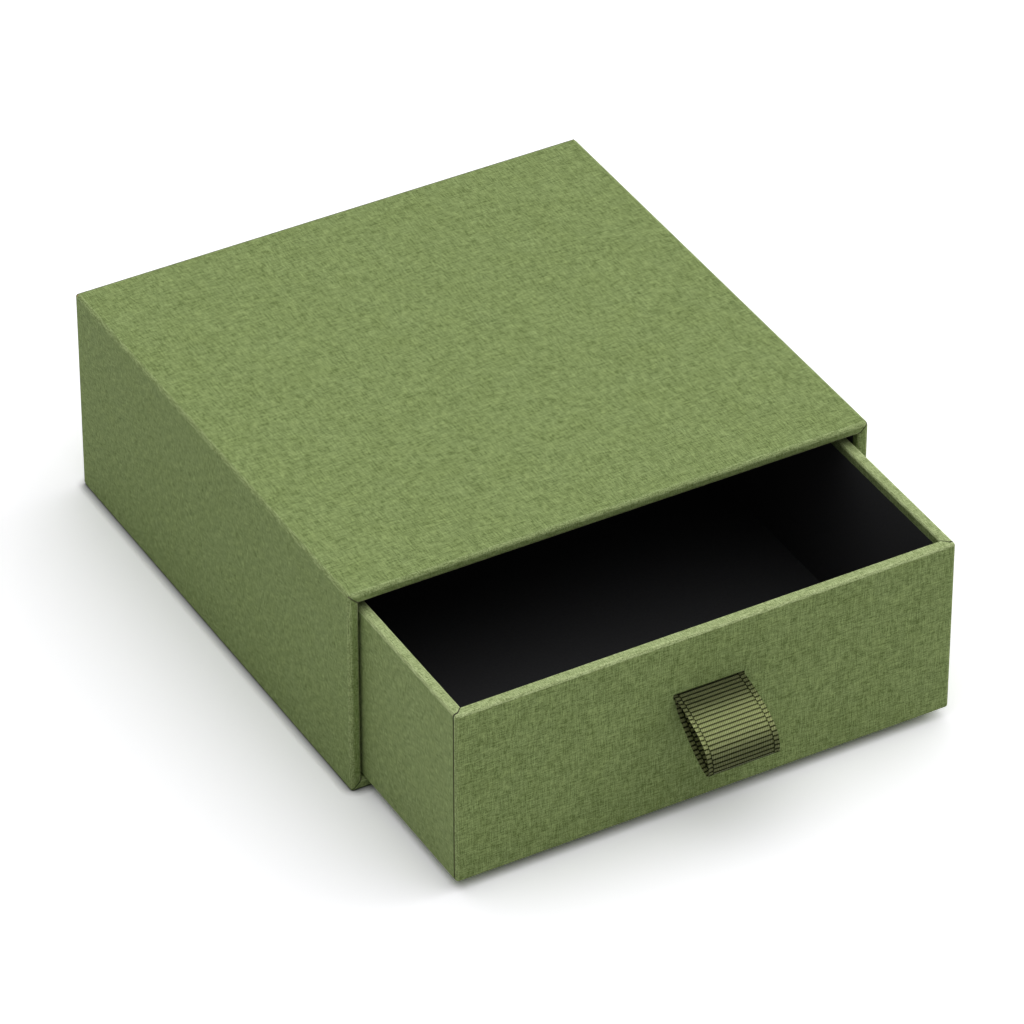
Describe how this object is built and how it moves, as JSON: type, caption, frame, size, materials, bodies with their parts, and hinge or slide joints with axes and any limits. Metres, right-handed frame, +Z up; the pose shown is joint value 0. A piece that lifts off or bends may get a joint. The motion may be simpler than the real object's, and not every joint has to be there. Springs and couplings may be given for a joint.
{
  "type": "sliding drawer gift box",
  "caption": "Low square gift box of paper-covered board: an open-topped drawer with a folded ribbon loop pull slides out of a flat sleeve that is closed at the back.",
  "frame": {"origin": "centre of the sleeve's flat underside", "axes": "+X to the right across the mouth, +Y from the mouth to the closed back, +Z up; the drawer opens towards -Y"},
  "size_m": [0.12, 0.1724, 0.049],
  "materials": {
    "green_paper": "matt moss green covering paper with a fine laid texture",
    "black_paper": "matt black lining paper",
    "greyboard": "raw recycled greyboard",
    "kraft_tape": "gummed kraft paper",
    "grosgrain": "olive grosgrain ribbon, ribbed across"
  },
  "bodies": {
    "sleeve": {"sleeve_top_board": "greyboard", "sleeve_bottom_board": "greyboard", "sleeve_left_board": "greyboard", "sleeve_right_board": "greyboard", "sleeve_back_board": "greyboard", "sleeve_corner_tape_top_left": "kraft_tape", "sleeve_corner_tape_top_right": "kraft_tape", "sleeve_corner_tape_bottom_left": "kraft_tape", "sleeve_corner_tape_bottom_right": "kraft_tape", "sleeve_back_tape_top": "kraft_tape", "sleeve_back_tape_bottom": "kraft_tape", "sleeve_back_tape_left": "kraft_tape", "sleeve_back_tape_right": "kraft_tape", "sleeve_wall_lining": "black_paper", "sleeve_back_lining": "black_paper", "sleeve_wrap": "green_paper", "sleeve_back_paper": "green_paper", "sleeve_base_paper": "green_paper"},
    "drawer": {"drawer_base_board": "greyboard", "drawer_front_board": "greyboard", "drawer_back_board": "greyboard", "drawer_left_board": "greyboard", "drawer_right_board": "greyboard", "drawer_corner_tape_front_left": "kraft_tape", "drawer_corner_tape_front_right": "kraft_tape", "drawer_corner_tape_back_left": "kraft_tape", "drawer_corner_tape_back_right": "kraft_tape", "drawer_wall_liner": "black_paper", "drawer_floor_liner": "black_paper", "drawer_wrap": "green_paper", "drawer_front_paper": "green_paper", "drawer_base_paper": "green_paper", "ribbon_tails": "grosgrain", "ribbon_patch": "kraft_tape"},
    "ribbon_loop": {"ribbon_loop": "grosgrain"}
  },
  "joints": [
    {"name": "drawer_slide", "type": "slide", "parent": "sleeve", "child": "drawer", "axis": [0, -1, 0], "range_m": [-0.038, 0.081]},
    {"name": "ribbon_lift", "type": "hinge", "parent": "drawer", "child": "ribbon_loop", "pos_m": [0, -0.0988, 0.0301], "axis": [-1, 0, 0], "range_deg": [0, 50], "stiffness_Nm_per_rad": 0.0002}
  ]
}
